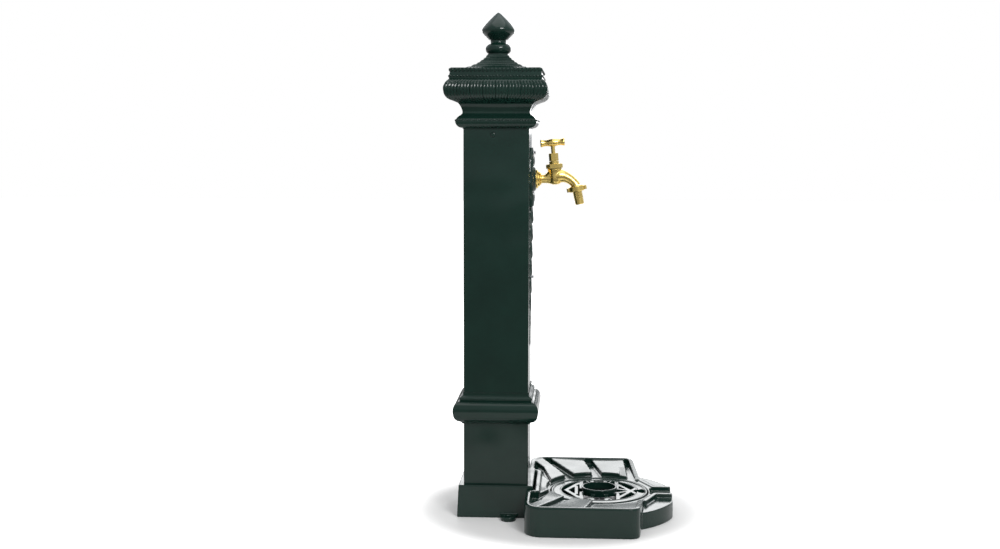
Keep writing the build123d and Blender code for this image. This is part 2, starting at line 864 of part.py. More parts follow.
def tap_handle():
    """T bar with swelling ends, drawn in at two waists, and a round boss in the middle."""
    half = handle_length / 2
    e = handle_end_radius
    w = handle_waist_radius
    b = handle_boss_radius
    bar = turned(
        (e * 0.8, -half),
        ((e * 0.96, -half + 0.8), (e, -half + 2.6)),
        ((w + 0.1, -half * 0.6), (w + 0.3, -half * 0.42)),
        ((b * 0.94, -half * 0.2), (b, 0)),
        ((b * 0.94, half * 0.2), (w + 0.3, half * 0.42)),
        ((w + 0.1, half * 0.6), (e, half - 2.6)),
        ((e * 0.96, half - 0.8), (e * 0.8, half)),
    )
    bar = Rot(90, 0, 0) * bar
    low = -b + 1.0
    hub = rod(spindle_radius + 0.9, low - 1.2, 0)
    body = Pos(0, 0, handle_height) * (bar + hub)
    body -= rod(spindle_top_radius + 0.05, handle_height - b - 2, handle_height + b + 1)
    body -= rod(spindle_radius + 0.05, handle_height - b - 2, handle_height - b + 1.1)
    pin_hole = rod(handle_pin_radius + handle_pin_clearance, -b - 1, b + 1)
    return at_bonnet(body - Pos(0, 0, handle_height) * Rot(0, 90, 0) * pin_hole)


def handle_pin():
    length = handle_boss_radius - 0.4
    return at_bonnet(Pos(0, 0, handle_height) * Rot(0, 90, 0) * rod(handle_pin_radius, -length, length))


def hose_washer_ends():
    """Distances out of the spout of the hose washer's two faces."""
    face = spout_straight + union_thread_length
    return face, face + hose_washer_thickness


def hose_flange_end():
    return hose_washer_ends()[1] + hose_flange_thickness


def union_end():
    return hose_flange_end() + 0.1 + union_lip


def union_nut():
    top = spout_straight + 0.5
    flange_end = hose_flange_end()
    end = union_end()
    bore = union_thread_radius + thread_clearance
    outer = bore + union_wall
    body = turned(
        (outer - 1.0, top),
        (outer, top + 1.0),
        (outer, end - 1.6),
        (outer - 1.6, end),
    )
    wing = Pos(0, 0, (top + end) / 2) * Box(union_wing_width, 2 * union_wing_reach, (end - top) * 0.72)
    wing = fillet(wing.edges().filter_by(Axis.Z), union_wing_width * 0.3)
    body += wing
    body -= rod(bore, top - 1, flange_end + 0.1)
    return at_spout(body - rod(hose_tail_radius + barb_rise + 0.2, flange_end - 1, end + 1))


def hose_tail():
    """Flanged hose tail: three barbs, then a plain land that the hose grips."""
    washer_end = hose_washer_ends()[1]
    flange_end = hose_flange_end()
    tip = flange_end + hose_tail_length
    body = rod(union_thread_radius - 0.2, washer_end, flange_end)
    body += rod(hose_tail_radius, flange_end - 0.5, tip - 1.5)
    body += turned((hose_tail_radius, tip - 1.5), (hose_tail_radius - 1.0, tip))
    for number in range(barb_count):
        low = union_end() + 1.0 + number * barb_pitch * 0.72
        body += turned(
            (hose_tail_radius + barb_rise, low),
            (hose_tail_radius + barb_rise, low + 0.8),
            (hose_tail_radius - 0.05, low + barb_pitch * 0.6),
        )
    return at_spout(body - rod(hose_tail_bore_radius, washer_end - 1, tip + 1))


def hose_washer():
    face, washer_end = hose_washer_ends()
    return at_spout(tube(union_thread_radius - 0.2, spout_bore_radius + 0.3, face, washer_end))


def inlet_elbow():
    """Socket for the tap's thread, a flange against the seal and a leg down to the riser."""
    wall_face = shaft_inside - elbow_seal_thickness
    bore = inlet_radius + thread_clearance
    boss = bore + elbow_wall
    leg_bore = riser_radius + 0.05
    leg = leg_bore + elbow_wall
    back = riser_forward
    body = along_front(rod(boss, back, wall_face) + rod(boss + 6, wall_face - 5, wall_face))
    body += Pos(0, -back, tap_height) * Sphere(max(boss, leg))
    body += Pos(0, -back, 0) * rod(leg, tap_height - leg - elbow_socket, tap_height)
    body -= along_front(rod(bore, back + riser_bore_radius, shaft_half))
    body -= along_front(rod(riser_bore_radius, back, back + riser_bore_radius + 1))
    body -= Pos(0, -back, 0) * rod(riser_bore_radius, tap_height - leg - elbow_socket - 1, tap_height)
    body -= Pos(0, -back, tap_height) * Sphere(riser_bore_radius)
    body -= Pos(0, -back, 0) * rod(leg_bore, tap_height - leg - elbow_socket - 1, tap_height - leg)
    return body


def elbow_seal():
    boss = inlet_radius + thread_clearance + elbow_wall
    return along_front(
        tube(boss + 5, wall_hole_radius, shaft_inside - elbow_seal_thickness, shaft_inside)
    )


def riser_top():
    return tap_height - (riser_radius + 0.05 + elbow_wall)


def riser_pipe():
    low = supply_union_bottom + supply_thread_depth + 3
    return Pos(0, -riser_forward, 0) * tube(riser_radius, riser_bore_radius, low, riser_top() - 0.3)


def supply_union():
    low = supply_union_bottom
    top = low + supply_union_length
    body = chamfered_hexagon(supply_union_flats, low, top, top=False)
    body -= rod(supply_thread_radius, low - 1, low + supply_thread_depth)
    body -= rod(riser_bore_radius, low, top)
    body -= rod(riser_radius + 0.05, low + supply_thread_depth + 3, top + 1)
    return Pos(0, -riser_forward, 0) * body


def pipe_clips():
    """Ring round the riser on a foot that is screwed to the inside of the front wall."""
    inner = riser_radius + 0.1
    outer = inner + clip_wall
    clips = []
    for height in clip_heights:
        ring = Pos(0, -riser_forward, height - clip_width / 2) * rod(outer, 0, clip_width)
        stem_start = riser_forward
        stem_end = shaft_inside
        stem = Pos(0, -(stem_start + stem_end) / 2, height) * Box(10, stem_end - stem_start, clip_width)
        foot = Pos(0, -(stem_end - 1.5), height) * Box(clip_foot_width, 3, clip_width)
        body = ring + stem + foot
        body -= Pos(0, -riser_forward, height - clip_width) * rod(inner, 0, clip_width * 2)
        for side in (-1, 1):
            cut = Rot(90, 0, 0) * rod(clip_screw_radius + 0.2, stem_end - 5, stem_end + 1)
            body -= Pos(side * clip_screw_spacing / 2, 0, height) * cut
        clips.append(body)
    return clips


def clip_screws():
    seat = shaft_inside - 3
    screws = []
    for height in clip_heights:
        for side in (-1, 1):
            shank = rod(clip_screw_radius - thread_clearance, seat - 0.5, shaft_half - 3)
            head = rod(clip_screw_radius * 1.8, seat - 2.4, seat)
            screws.append(Pos(side * clip_screw_spacing / 2, 0, height) * Rot(90, 0, 0) * (shank + head))
    return screws


def notch_half():
    return plinth_foot_half + notch_clearance


def tray_plan():
    """Outer plan of the tray's main body, with the notch for the plinth in its rear edge."""
    notch = notch_half()
    right = [
        (notch, notch),
        (notch, tray_rear),
        (tray_half_width, tray_rear),
        (tray_half_width, tray_front_corner),
        (tray_front_half, tray_front),
    ]
    face = plan_face(mirrored(right))
    face = fillet(side_corners(face, tray_rear), tray_rear_corner_radius)
    return fillet(side_corners(face, tray_front_corner), tray_front_corner_radius)


def side_corners(face, forward):
    """The corners of the tray's plan on its two sides, at the given distance forward."""
    corners = face.vertices()
    return [v for v in corners if abs(abs(v.X) - tray_half_width) < 0.1 and abs(v.Y + forward) < 0.1]


def flare_plan(extra):
    """Plan of the opening in front of the grate and its spill channel, widened by extra."""
    half = channel_half_width + extra
    far = lobe_front + 10
    start = tray_centre + flare_start_ahead
    end = tray_centre + flare_end_ahead
    return plan_face(mirrored([
        (half, far),
        (half, start + extra * 0.5),
        (dip_end + extra * 0.7, end + extra * 0.9),
        (dip_end + extra * 0.7, end - 60),
    ]))


def lobe_plan(inset):
    """Plan of the front lobe: a disc cut straight at the front."""
    disc = Pos(0, lobe_behind - tray_centre) * Circle(lobe_radius - inset)
    front = lobe_front - inset
    back = tray_front_corner - 24
    keep = Pos(0, -(front + back) / 2) * Rectangle(2 * lobe_radius, front - back)
    return disc & keep


def dish(low, inside, outside):
    """Solid under a shallow dish round the grate's axis: level out to the trough, then rising outwards."""
    slope = (outside - inside) / (dish_radius - trough_radius)
    edge = tray_half_width * 1.6
    brim = inside + slope * (edge - trough_radius)
    return in_tray(turned((edge, low), (edge, brim), (trough_radius, inside), (0.0, inside)))


def pad_plans():
    """Plans of the raised pads, as (forward of the grate's axis, sideways) corners on one side."""
    side = tray_half_width + pad_run_out
    rear = [
        (-99.4, 42.2),
        (-118, 131),
        (-138, side - 53),
        (-142, side - 10),
        (-131, side - 10),
        (-109, side - 56.5),
        (-90, 128),
        (-71, 81.5),
        (-64, 73),
    ]
    middle = [(-49, 88), (-102, side - 35), (-110, side), (-28, side), (-32, side - 27), (-12.4, 101)]
    front = [(8.8, 101), (-13, side - 35), (-17, side), (54, side)]
    front += [(55.6, side - 29), (60.4, 89.5), (56, 83)]
    return [rear, middle, front]


def rear_pad_plan():
    half = [(-95, 31), (-102.7, 34), (-124, 84), (-150, 84)]
    return half + [(ahead, -across) for ahead, across in reversed(half)]


def pads():
    """The seven raised pads as blocks that run out under the rim, cut to the trough's circle."""
    shapes = []
    for corners in pad_plans():
        for side in (-1, 1):
            shapes.append(plan_face([(side * across, tray_centre + ahead) for ahead, across in corners]))
    shapes.append(plan_face([(across, tray_centre + ahead) for ahead, across in rear_pad_plan()]))
    trough = in_tray(rod(trough_radius, trough_floor - tray_floor - 1, tray_height + 1))
    brim = trough_floor + dish_rise
    top = dish(trough_floor - tray_floor, trough_floor + pad_rise_inside, brim + pad_rise_outside)
    solids = []
    for shape in shapes:
        block = Pos(0, 0, trough_floor - 3) * extrude(shape, amount=30)
        solids.append((block & top) - trough)
    return solids


def tray_basin():
    plan = tray_plan()
    body = extrude(plan, amount=tray_height)
    top_edges = body.edges().filter_by(lambda e: abs(e.bounding_box().min.Z - tray_height) < 0.01)
    body = fillet(top_edges, rim_edge_radius)
    dip = Plane.XZ * make_face(
        Polyline(
            [
                (-dip_start, tray_height + 1),
                (-dip_start, tray_height),
                (-dip_end, dip_height),
                (dip_end, dip_height),
                (dip_start, tray_height),
                (dip_start, tray_height + 1),
            ],
            close=True,
        )
    )
    body -= Pos(0, -(tray_front_corner - 30), 0) * extrude(dip, amount=80)
    lobe = extrude(lobe_plan(0), amount=lobe_height)
    ribs = extrude(flare_plan(lobe_rib) & lobe_plan(0), amount=dip_height)
    body += lobe
    body += ribs
    cavity = offset(plan, -rim_width)
    mouth = flare_plan(0) & lobe_plan(-20)
    inner = extrude(cavity, amount=tray_height) + extrude(mouth, amount=tray_height)
    inner = Pos(0, 0, trough_floor - tray_floor) * inner
    floor = dish(0, trough_floor, trough_floor + dish_rise)
    inner -= floor
    for pad in pads():
        inner -= pad
    body -= inner
    step = tray_centre + channel_step_ahead
    channel = plan_face(mirrored([(channel_half_width, step), (channel_half_width, lobe_front + 10)]))
    body -= Pos(0, 0, channel_floor) * extrude(channel, amount=tray_height)
    bowl_outer = sump_radius + sump_wall
    hollow = Pos(0, 0, -1) * extrude(offset(plan, -tray_wall), amount=tray_height)
    under = hollow & dish(-2, trough_floor - tray_floor, trough_floor + dish_rise - tray_floor)
    body -= under - in_tray(rod(bowl_outer, -2, tray_height))
    lobe_hollow = lobe_plan(tray_wall) - Pos(0, -tray_centre) * Circle(bowl_outer)
    strip_back = tray_front + 2
    strip = Rectangle(2 * lobe_radius, lobe_front - strip_back)
    strip = Pos(0, -(strip_back + lobe_front) / 2) * strip
    body -= Pos(0, 0, -1) * extrude(lobe_hollow & strip, amount=channel_floor - lobe_roof + 1)
    sump_bottom = sump_floor_top - sump_floor
    body -= in_tray(rod(bowl_outer + 1, -1, sump_bottom)) & hollow
    body -= in_tray(rod(sump_radius, sump_floor_top, tray_height))
    body -= in_tray(rod(grate_radius + grate_clearance, seat_height, tray_height))
    body -= in_tray(rod(drain_tail_radius + drain_clearance, -1, sump_floor_top + 1))
    for side in (-1, 1):
        cut = Rot(90, 0, 0) * rod(bolt_hole_radius, notch_half() - 1, notch_half() + tray_wall + 1)
        body -= Pos(side * tray_bolt_side, 0, tray_bolt_height) * cut
    return body


def bar(start, end, width):
    """Flat bar of the grate between two (forward, sideways) points from its axis."""
    (a0, b0), (a1, b1) = start, end
    line = Line((b0, -a0), (b1, -a1))
    middle = line @ 0.5
    angle = line.tangent_angle_at(0.5)
    return Pos(middle.X, middle.Y) * Rot(0, 0, angle) * Rectangle(line.length, width)


def grate_bars():
    """Openwork between the ring and the collar, alike on both sides of the fore-and-aft line."""
    r = grate_inner_radius
    outer_row = r * 0.48
    inner_row = r * 0.182
    shapes = []
    for side in (-1, 1):
        end = (r + 3) * side
        for row in (-outer_row, outer_row):
            shapes.append(bar((row, 20 * side), (row, end), bar_width))
        for row in (-inner_row, inner_row):
            shapes.append(bar((row, 30 * side), (row, end), bar_width))
            shapes.append(bar((row, 50 * side), (row * 1.93, r * 0.987 * side), thin_bar_width))
        shapes.append(bar((-r * 0.896, -2.5 * side), (-outer_row - 4, r * 0.753 * side), bar_width + 1))
        shapes.append(bar((outer_row - 1, r * 0.753 * side), (r * 0.987, -22 * side), bar_width))
        shapes.append(bar((r * 0.857, 0), (28, 20 * side), bar_width - 1))
        shapes.append(bar((-outer_row - 10, 0), (-outer_row - 10, 32 * side), bar_width - 1))
        shapes.append(bar((-outer_row - 3, 18 * side), (-28, 12 * side), bar_width - 1))
    face = shapes[0]
    for shape in shapes[1:]:
        face += shape
    return face & Circle(r + 1)


def lens_opening():
    """Pointed opening through the ring, ahead of the crossing bars."""
    r = grate_inner_radius
    corners = [(0, r - 6), (9, r + 3), (15, r + 11), (11, r + 16), (-11, r + 16), (-15, r + 11), (-9, r + 3)]
    return plan_face(corners)


def tray_grate():
    """Openwork disc with a beaded rim and a short collar."""
    low = seat_height
    top = low + grate_thickness
    body = tube(grate_radius, grate_inner_radius, low, top)
    groove = grate_radius - grate_groove_inset
    body -= tube(groove, groove - grate_groove_width, top - grate_groove_depth, top + 1)
    rim_bead = Pos(0, 0, top) * Torus(grate_radius - 2.4, grate_bead_radius)
    inner_bead = Pos(0, 0, top) * Torus(grate_inner_radius + 2.0, grate_bead_radius * 0.8)
    body += rim_bead
    body += inner_bead
    body -= Pos(0, 0, low - 1) * extrude(lens_opening(), amount=grate_thickness + 2)
    bars = Pos(0, 0, top - bar_thickness) * extrude(grate_bars(), amount=bar_thickness)
    body += bars
    collar_inside = collar_radius - collar_wall
    collar = rod(collar_radius, top - bar_thickness, top + collar_rise)
    collar = fillet(collar.edges().group_by(Axis.Z)[-1], 1.4)
    body += collar
    body -= rod(collar_inside, low - 1, top + collar_rise + 1)
    return in_tray(body)


def drain_body():
    flange_low = sump_floor_top + drain_gasket_thickness
    body = rod(drain_flange_radius, flange_low, flange_low + drain_flange_thickness)
    body += rod(drain_tail_radius, drain_tail_foot, flange_low + 0.5)
    body -= rod(drain_bore_radius, drain_tail_foot - 1, sump_floor_top - 3)
    body -= rod(drain_mouth_radius, sump_floor_top - 4, flange_low + drain_flange_thickness + 1)
    for angle in (0, 90):
        cross = Rot(0, 0, angle) * Box(2 * drain_mouth_radius + 2, 2.4, 2.0)
        body += Pos(0, 0, flange_low + drain_flange_thickness - 1.0) * cross
    return in_tray(body)


def drain_gasket():
    low = sump_floor_top
    return in_tray(tube(drain_flange_radius - 1, drain_tail_radius + 0.1, low, low + drain_gasket_thickness))


def drain_nut():
    top = sump_floor_top - sump_floor
    nut = chamfered_hexagon(drain_nut_flats, top - drain_nut_height, top, top=False)
    return in_tray(nut - rod(drain_tail_radius + thread_clearance, top - drain_nut_height - 1, top + 1))


def tray_fasteners():
    """Two bolts from under the tray, through its notch wall and the plinth's front wall."""
    head_face = notch_half() + tray_wall
    inner_face = plinth_top_half - plinth_wall
    length = head_face - inner_face + washer_thickness * 2 + nut_height + bolt_tail
    bolts = []
    washers = []
    nuts = []
    for side in (-1, 1):
        place = Pos(side * tray_bolt_side, 0, tray_bolt_height) * Rot(90, 0, 0)
        bolts.append(place * Pos(0, 0, head_face + washer_thickness) * hex_bolt(length))
        washers.append(place * Pos(0, 0, head_face) * flat_washer())
        washers.append(place * Pos(0, 0, inner_face - washer_thickness) * flat_washer())
        nuts.append(place * Pos(0, 0, inner_face - washer_thickness - nut_height) * hex_nut())
    return bolts, washers, nuts


def group(shapes):
    """Several separate solids as one node."""
    solids = []
    for shape in shapes:
        solids.extend(shape.solids())
    return Compound(children=solids)


def all_nodes():
    shaft_bolts, shaft_washers, shaft_nuts = shaft_fasteners()
    stud, nut, washer = finial_fixings()
    tray_bolts, tray_washers, tray_nuts = tray_fasteners()
    return {
        "plinth_base": [plinth_base()],
        "column_shaft": [column_shaft()],
        "shaft_bolts": shaft_bolts,
        "shaft_washers": shaft_washers,
        "shaft_nuts": shaft_nuts,
        "front_relief": [front_relief()],
        "relief_screws": relief_screws(),
        "cap_casting": [cap_casting()],
        "cap_screws": cap_screws(),
        "finial": [finial()],
        "finial_stud": [stud],
        "finial_nut": [nut],
        "finial_washer": [washer],
        "wall_flange": [wall_flange()],
        "tap_body": [tap_body()],
        "bonnet": [bonnet()],
        "bonnet_seal": [bonnet_seal()],
        "gland_nut": [gland_nut()],
        "gland_packing": [gland_packing()],
        "spindle": [spindle()],
        "jumper_valve": [jumper_valve()],
        "valve_washer": [valve_washer()],
        "valve_nut": [valve_nut()],
        "tap_handle": [tap_handle()],
        "handle_pin": [handle_pin()],
        "union_nut": [union_nut()],
        "hose_tail": [hose_tail()],
        "hose_washer": [hose_washer()],
        "inlet_elbow": [inlet_elbow()],
        "elbow_seal": [elbow_seal()],
        "riser_pipe": [riser_pipe()],
        "supply_union": [supply_union()],
        "pipe_clips": pipe_clips(),
        "clip_screws": clip_screws(),
        "tray_basin": [tray_basin()],
        "tray_grate": [tray_grate()],
        "drain_body": [drain_body()],
        "drain_gasket": [drain_gasket()],
        "drain_nut": [drain_nut()],
        "tray_bolts": tray_bolts,
        "tray_washers": tray_washers,
        "tray_nuts": tray_nuts,
    }


os.makedirs("parts", exist_ok=True)
for name, shapes in all_nodes().items():
    export_step(group(shapes), f"parts/{name}.step")
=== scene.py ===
"""Looks of the garden water fountain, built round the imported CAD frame.

Metres, +Z up. The tap and the tray face -Y, and the origin is on the column's axis at floor level.
"""

import json
import math

import bpy
from mathutils import Matrix, Quaternion, Vector


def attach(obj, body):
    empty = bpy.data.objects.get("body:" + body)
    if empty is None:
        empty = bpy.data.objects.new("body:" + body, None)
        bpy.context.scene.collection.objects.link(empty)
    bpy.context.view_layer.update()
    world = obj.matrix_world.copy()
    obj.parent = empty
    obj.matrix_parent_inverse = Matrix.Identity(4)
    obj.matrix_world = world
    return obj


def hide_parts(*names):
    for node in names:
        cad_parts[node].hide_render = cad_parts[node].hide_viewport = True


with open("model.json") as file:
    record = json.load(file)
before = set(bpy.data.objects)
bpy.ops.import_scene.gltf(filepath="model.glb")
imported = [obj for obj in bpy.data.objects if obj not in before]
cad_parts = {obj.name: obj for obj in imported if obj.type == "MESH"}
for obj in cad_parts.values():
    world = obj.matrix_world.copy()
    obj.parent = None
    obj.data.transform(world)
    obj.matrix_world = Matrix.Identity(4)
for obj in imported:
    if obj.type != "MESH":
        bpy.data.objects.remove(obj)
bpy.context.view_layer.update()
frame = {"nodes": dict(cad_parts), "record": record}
nodes = frame["nodes"]

# Camera, solved from the photograph
IMAGE_WIDTH = 1000
FOCAL_PIXELS = 1311.72
SENSOR_WIDTH = 36.0
CAMERA_PLACE = (-2.65388, -0.16689, 0.75611)
CAMERA_YAW = -0.061335
CAMERA_PITCH = 0.101503
CAMERA_ROLL = 0.001514

# Column, in metres
SHAFT_HALF = 0.065
CAP_JOINT = 0.780
CUSHION_HALF = 0.1012
SLAB_HALF = 0.091
ASTRAGAL_HALF = 0.0797
RING_HEIGHT = 0.220
RING_HALF = 0.0857
TAP_HEIGHT = 0.680

# Tap, in millimetres and degrees: the bonnet's axis, the end of the spout's bend (forward, height),
# and the sides of its round sections
BONNET_FORWARD = 115.5
BONNET_LEAN = 4.8
SPOUT_END = (156.16, 672.16)
SPOUT_LEAN = 12.0
BAR_SIDES = 48

# Cap: steps of the mesh along a side, and the heights above the cap's joint at which an ornament
# starts and is at full depth, or starts to fade and ends
CAP_STEPS = 160
CUSHION_FOOT = (0.0505, 0.057)
CUSHION_HEAD = (0.0905, 0.0955)
ROOF_FOOT = (0.1188, 0.1215)
ROOF_HEAD = (0.142, 0.1465)

# Cushion: shells along each side, each with its own ribs, a gap to the next and a lip
SHELLS = 8
RIBS = 4
RIB_DEPTH = 0.0014
GAP_DEPTH = 0.0007
LIP_DEPTH = 0.0005
LIP_HEIGHT = 0.090
LIP_SAG = 0.010

# Roof: rows of scales, with this many scales along half a side
SCALES = 11
SCALE_ROW = 0.0046
SCALE_DEPTH = 0.0019

# Rows of beads round the column: name, half side, height, bead radius, pitch, and for the rope's
# long leaning beads also their lean in radians and their stretch
BEAD_ROWS = [
    ("cap_astragal_beads", ASTRAGAL_HALF - 0.0006, CAP_JOINT + 0.0162, 0.0021, 0.0056),
    ("slab_lower_beads", SLAB_HALF - 0.0004, CAP_JOINT + 0.1016, 0.0022, 0.0064),
    ("slab_upper_rope", SLAB_HALF - 0.0022, CAP_JOINT + 0.1136, 0.0030, 0.0077, 0.55, 1.4),
    ("ring_upper_beads", SHAFT_HALF + 0.0064, RING_HEIGHT + 0.0212, 0.0022, 0.0056),
    ("ring_top_beads", SHAFT_HALF + 0.0012, RING_HEIGHT + 0.0335, 0.0013, 0.0042),
    ("ring_shoulder_beads", RING_HALF - 0.0078, RING_HEIGHT + 0.0142, 0.0014, 0.0042),
]
BEAD_LEVELS = 5
BEAD_SIDES = 8

# Relief on the front face: a shell with rays and a scalloped edge, then a drop of husks
RELIEF_ROWS = 300
RELIEF_COLUMNS = 64
RAYS = 7
SCALLOPS = 5
HUSKS = 8
RELIEF_TOP = 0.743
RELIEF_SHOULDER = 0.625
RELIEF_TIP = 0.338
RELIEF_HALF = 0.043
DROP_HALF = 0.024
TIP_HALF = 0.006
RELIEF_DEPTH = 0.0088
TIP_DEPTH = 0.002
BOSS_RADIUS = 0.027
BOSS_DEPTH = 0.012
FLANGE_RADIUS = 0.020

# Looks: colours, and where on a noise texture the low and the high value are reached
TONE_LOW = 0.3
TONE_HIGH = 0.7
PAINT_GREEN = (0.0052, 0.0225, 0.0165, 1.0)
BRASS_COLOUR = (0.98, 0.73, 0.23, 1.0)
BRASS_DARK = (0.55, 0.36, 0.09, 1.0)
BRASS_DARK_SHARE = 0.25
ZINC_COLOUR = (0.55, 0.56, 0.58, 1.0)
ZINC_DARK = (0.42, 0.43, 0.46, 1.0)
PLASTIC_COLOUR = (0.10, 0.105, 0.11, 1.0)

# Studio: levels where 1 is white. MIRRORED_BEHIND, MIRRORED_RAISED and FLOOR_WHITENS give where a
# change of level starts and ends, by direction or by distance in halves of the object's footprint
WORLD_LIGHT = 0.42
MIRRORED_LOW = 0.5
MIRRORED_TINT = (0.93, 0.96, 1.0, 1.0)
MIRRORED_BEHIND = (-0.3, 0.5)
MIRRORED_RAISED = (0.10, 0.34)
# Grey card's glow, seen only in reflections, paints a dark reflection on the camera's side
CARD_LEVEL = 0.22
CARD_NEAR = -0.75
CARD_FAR = -2.7
CARD_SIDES = (-2.6, 2.2)
CARD_HEIGHTS = (0.02, 0.56)
# Floor: a glow seen only by the camera, FLOOR_GLOW round the object's footprint and 1 away from it,
# is painted white that covers the object's shadow farther out
FLOOR_COLOUR = (0.78, 0.78, 0.78, 1.0)
FLOOR_GLOW = 0.06
FOOT_CENTRE = (0.0, -0.13)
FOOT_HALF = (0.225, 0.25)
FLOOR_WHITENS = (1.0, 1.5)
FLOOR_REACH = 14.0

# Soft lights: name, place, target, width, height and watts
SOFTBOXES = [
    ("overhead", (-0.3, -0.2, 3.2), (0, -0.1, 0.4), 2.4, 2.4, 18.0),
    ("backdrop_light", (3.0, -0.2, 1.55), (0, -0.2, 0.05), 3.5, 1.7, 58.0),
    ("key", (-1.75, -0.95, 1.85), (0, -0.1, 0.7), 0.8, 0.7, 30.0),
]


def new_material(name):
    """A node material, its tree and the shader that is wired to its output."""
    material = bpy.data.materials.new(name)
    material.use_nodes = True
    tree = material.node_tree
    tree.nodes.clear()
    output = tree.nodes.new("ShaderNodeOutputMaterial")
    shader = tree.nodes.new("ShaderNodeBsdfPrincipled")
    tree.links.new(shader.outputs["BSDF"], output.inputs["Surface"])
    return material, tree, shader


def noise(tree, coordinates, scale, detail):
    """Grey noise texture."""
    node = tree.nodes.new("ShaderNodeTexNoise")
    node.inputs["Scale"].default_value = scale
    node.inputs["Detail"].default_value = detail
    tree.links.new(coordinates, node.inputs["Vector"])
    return node.outputs["Fac"]


def ramp(tree, factor, stops):
    """Colour ramp from (place, colour) stops."""
    node = tree.nodes.new("ShaderNodeValToRGB")
    elements = node.color_ramp.elements
    elements[0].position, elements[0].color = stops[0]
    elements[1].position, elements[1].color = stops[-1]
    for place, colour in stops[1:-1]:
        element = elements.new(place)
        element.color = colour
    tree.links.new(factor, node.inputs["Fac"])
    return node.outputs["Color"]


def bump(tree, shader, height, distance, strength, under=None):
    """Bumps the shader's surface by a height texture, on top of an earlier bump if given."""
    node = tree.nodes.new("ShaderNodeBump")
    node.inputs["Distance"].default_value = distance
    node.inputs["Strength"].default_value = strength
    tree.links.new(height, node.inputs["Height"])
    if under is not None:
        tree.links.new(under, node.inputs["Normal"])
    tree.links.new(node.outputs["Normal"], shader.inputs["Normal"])
    return node.outputs["Normal"]


def grey(value):
    """Opaque grey, also used as a plain number in a ramp."""
    return (value, value, value, 1.0)


def shade(colour, share):
    """The colour times a share, opaque."""
    return tuple(channel * share for channel in colour[:3]) + (1.0,)


def vary(tree, factor, socket, low, high, end=TONE_HIGH):
    """Drives a socket from the darker or lower value to the higher one over a noise texture."""
    tree.links.new(ramp(tree, factor, [(TONE_LOW, low), (end, high)]), socket)


def object_place(tree):
    """Coordinates in the object's own metres."""
    return tree.nodes.new("ShaderNodeTexCoord").outputs["Object"]


def green_paint():
    """Thick gloss paint over sand-cast iron: waves of the casting, orange peel, uneven gloss."""
    material, tree, shader = new_material("green_gloss_paint")
    place = object_place(tree)
    cloud = noise(tree, place, scale=9.0, detail=4.0)
    low, high = shade(PAINT_GREEN, 0.86), shade(PAINT_GREEN, 1.16)
    vary(tree, cloud, shader.inputs["Base Color"], low, high)
    gloss = noise(tree, place, scale=30.0, detail=2.0)
    vary(tree, gloss, shader.inputs["Roughness"], grey(0.15), grey(0.20), end=0.75)
    shader.inputs["Specular IOR Level"].default_value = 0.42
    swell = noise(tree, place, scale=15.0, detail=0.0)
    peel = noise(tree, place, scale=240.0, detail=1.0)
    waves = bump(tree, shader, swell, distance=0.010, strength=0.25)
    bump(tree, shader, peel, distance=0.0004, strength=0.06, under=waves)
    return material


def cast_brass():
    """Bead-blasted brass, with a share of its dark tone in cloudy patches."""
    material, tree, shader = new_material("cast_brass")
    place = object_place(tree)
    tone = noise(tree, place, scale=90.0, detail=3.0)
    dark, light = BRASS_DARK_SHARE, 1 - BRASS_DARK_SHARE
    low = tuple(a * dark + b * light for a, b in zip(BRASS_DARK[:3], BRASS_COLOUR[:3])) + (1.0,)
    vary(tree, tone, shader.inputs["Base Color"], low, BRASS_COLOUR)
    shader.inputs["Metallic"].default_value = 1.0
    gloss = noise(tree, place, scale=400.0, detail=2.0)
    vary(tree, gloss, shader.inputs["Roughness"], grey(0.24), grey(0.31))
    bump(tree, shader, noise(tree, place, scale=1500.0, detail=2.0), distance=0.0001, strength=0.1)
    return material


def rubber():
    """Dull black rubber of the seals."""
    material, tree, shader = new_material("seal_rubber")
    tone = noise(tree, object_place(tree), scale=300.0, detail=3.0)
    vary(tree, tone, shader.inputs["Base Color"], grey(0.015), grey(0.03))
    vary(tree, tone, shader.inputs["Roughness"], grey(0.6), grey(0.8))
    bump(tree, shader, tone, distance=0.0001, strength=0.3)
    return material


def zinc_steel():
    """Zinc-plated steel of screws, bolts and nuts."""
    material, tree, shader = new_material("zinc_steel")
    place = object_place(tree)
    tone = noise(tree, place, scale=180.0, detail=4.0)
    vary(tree, tone, shader.inputs["Base Color"], ZINC_DARK, ZINC_COLOUR)
    shader.inputs["Metallic"].default_value = 1.0
    vary(tree, tone, shader.inputs["Roughness"], grey(0.28), grey(0.45))
    bump(tree, shader, noise(tree, place, scale=900.0, detail=2.0), distance=0.0001, strength=0.3)
    return material


def drain_plastic():
    """Dark grey plastic of the drain."""
    material, tree, shader = new_material("drain_plastic")
    place = object_place(tree)
    tone = noise(tree, place, scale=250.0, detail=3.0)
    vary(tree, tone, shader.inputs["Base Color"], shade(PLASTIC_COLOUR, 0.8), PLASTIC_COLOUR)
    vary(tree, tone, shader.inputs["Roughness"], grey(0.38), grey(0.5))
    bump(tree, shader, noise(tree, place, scale=1200.0, detail=2.0), distance=0.0001, strength=0.4)
    return material


def assign(obj, material):
    """Makes the material the object's only one."""
    obj.data.materials.clear()
    obj.data.materials.append(material)


def dress_nodes(materials):
    """Gives each CAD node the material of its slot."""
    for part in frame["record"]["subparts"]:
        assign(nodes[part["node"]], materials[part["material_slot"]])


def add_piece(name, points, faces, material, body="fountain", sharp=40.0):
    """A mesh object of the fountain, smooth except across edges sharper than the given degrees."""
    mesh = bpy.data.meshes.new(name)
    mesh.from_pydata(points, [], faces)
    mesh.validate()
    mesh.update()
    piece = bpy.data.objects.new(name, mesh)
    bpy.context.scene.collection.objects.link(piece)
    finish_mesh(mesh, sharp)
    assign(piece, material)
    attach(piece, body)
    return piece


